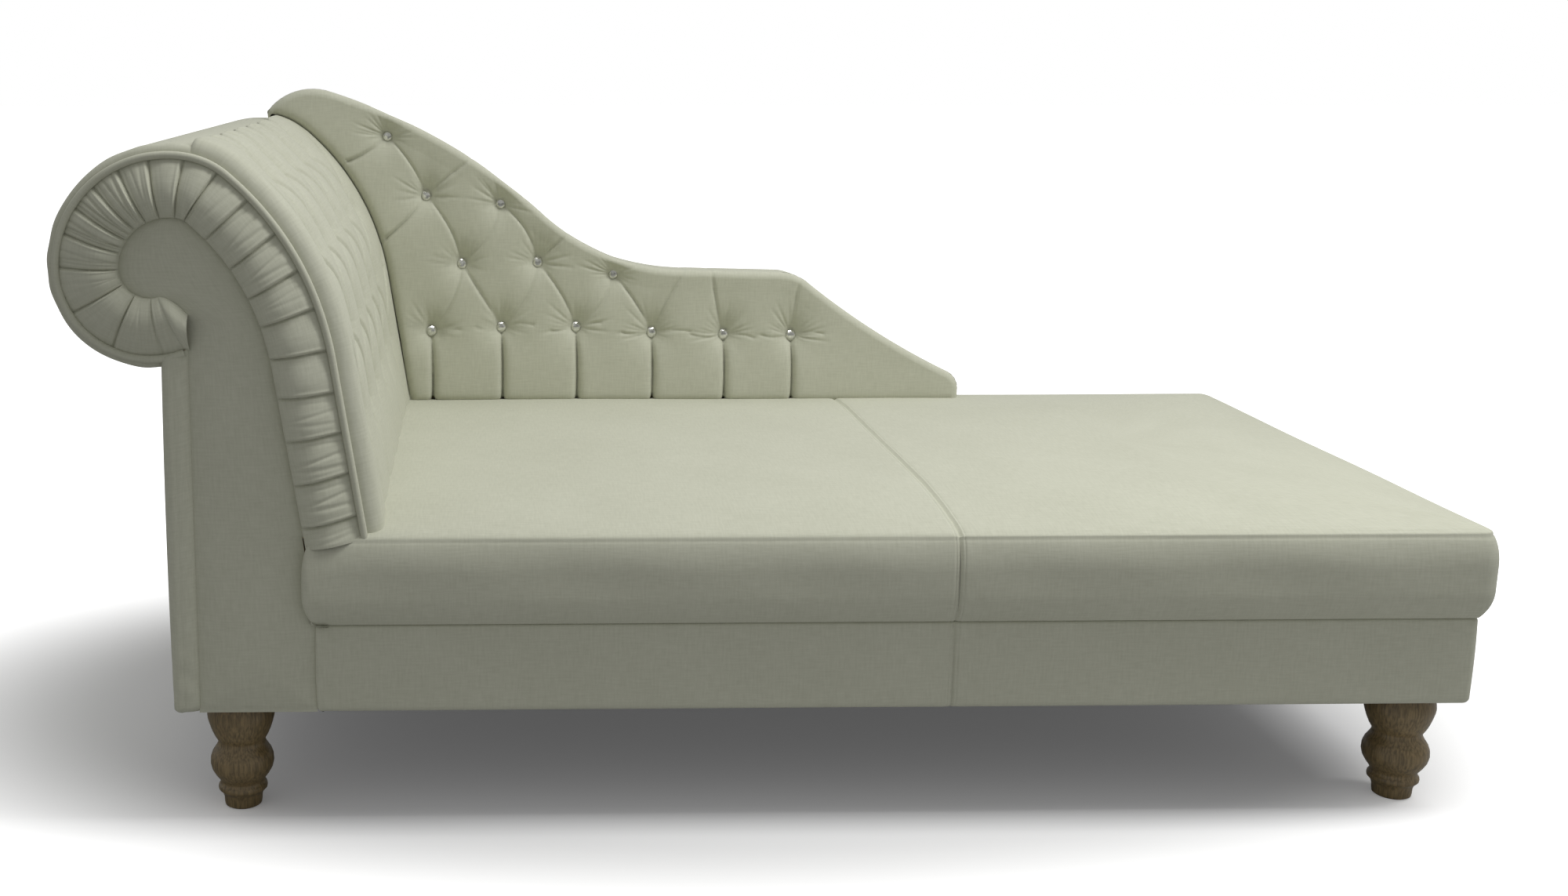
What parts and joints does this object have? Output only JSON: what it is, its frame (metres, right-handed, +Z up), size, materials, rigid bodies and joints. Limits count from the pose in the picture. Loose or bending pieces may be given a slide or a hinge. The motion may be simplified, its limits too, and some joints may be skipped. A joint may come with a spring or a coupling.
{
  "type": "chaise longue",
  "caption": "Buttoned chaise longue with one scroll arm, a sloping tufted back along the rear and turned wooden feet.",
  "frame": {"origin": "on the floor, under the middle of the whole length and depth", "axes": "+X along the length from the scroll arm to the foot end, +Z up, and -Y out of the open front"},
  "size_m": [1.78, 0.9, 0.8978],
  "materials": {
    "upholstery_cloth": "fine woven, soft sheen",
    "piping_cloth": "fine woven",
    "foam": "open cell foam",
    "felt": "needled felt",
    "webbing": "woven webbing",
    "black_cloth": "spunbonded cloth",
    "frame_timber": "planed",
    "plywood": "sanded",
    "liner_board": "thin bent fibre board",
    "foot_wood": "stained, satin lacquer",
    "crystal": "cut and silvered",
    "zinc_steel": "zinc plated"
  },
  "bodies": {
    "root": {"arm_bearer_rail": "frame_timber", "arm_buttons": "crystal", "arm_facing": "upholstery_cloth", "arm_foam": "foam", "arm_front_former": "plywood", "arm_inside_cover": "upholstery_cloth", "arm_liner_board": "liner_board", "arm_middle_former": "plywood", "arm_outside_cover": "upholstery_cloth", "arm_piping": "piping_cloth", "arm_roll_cover": "upholstery_cloth", "arm_scroll_border": "upholstery_cloth", "arm_slats": "frame_timber", "back_battens": "frame_timber", "back_board": "plywood", "back_buttons": "crystal", "back_foam": "foam", "back_inside_cover": "upholstery_cloth", "base_border_foot": "upholstery_cloth", "base_border_head": "upholstery_cloth", "corner_blocks": "frame_timber", "cross_rails": "frame_timber", "dust_cover": "black_cloth", "foot_bolts": "zinc_steel", "foot_end_rail": "frame_timber", "front_feet": "foot_wood", "front_rail": "frame_timber", "head_end_rail": "frame_timber", "outside_back_cover": "upholstery_cloth", "rear_feet": "foot_wood", "rear_rail": "frame_timber", "seat_cover_foot": "upholstery_cloth", "seat_cover_head": "upholstery_cloth", "seat_felt": "felt", "seat_foam": "foam", "webbing_cross_straps": "webbing", "webbing_long_straps": "webbing"}
  },
  "joints": []
}
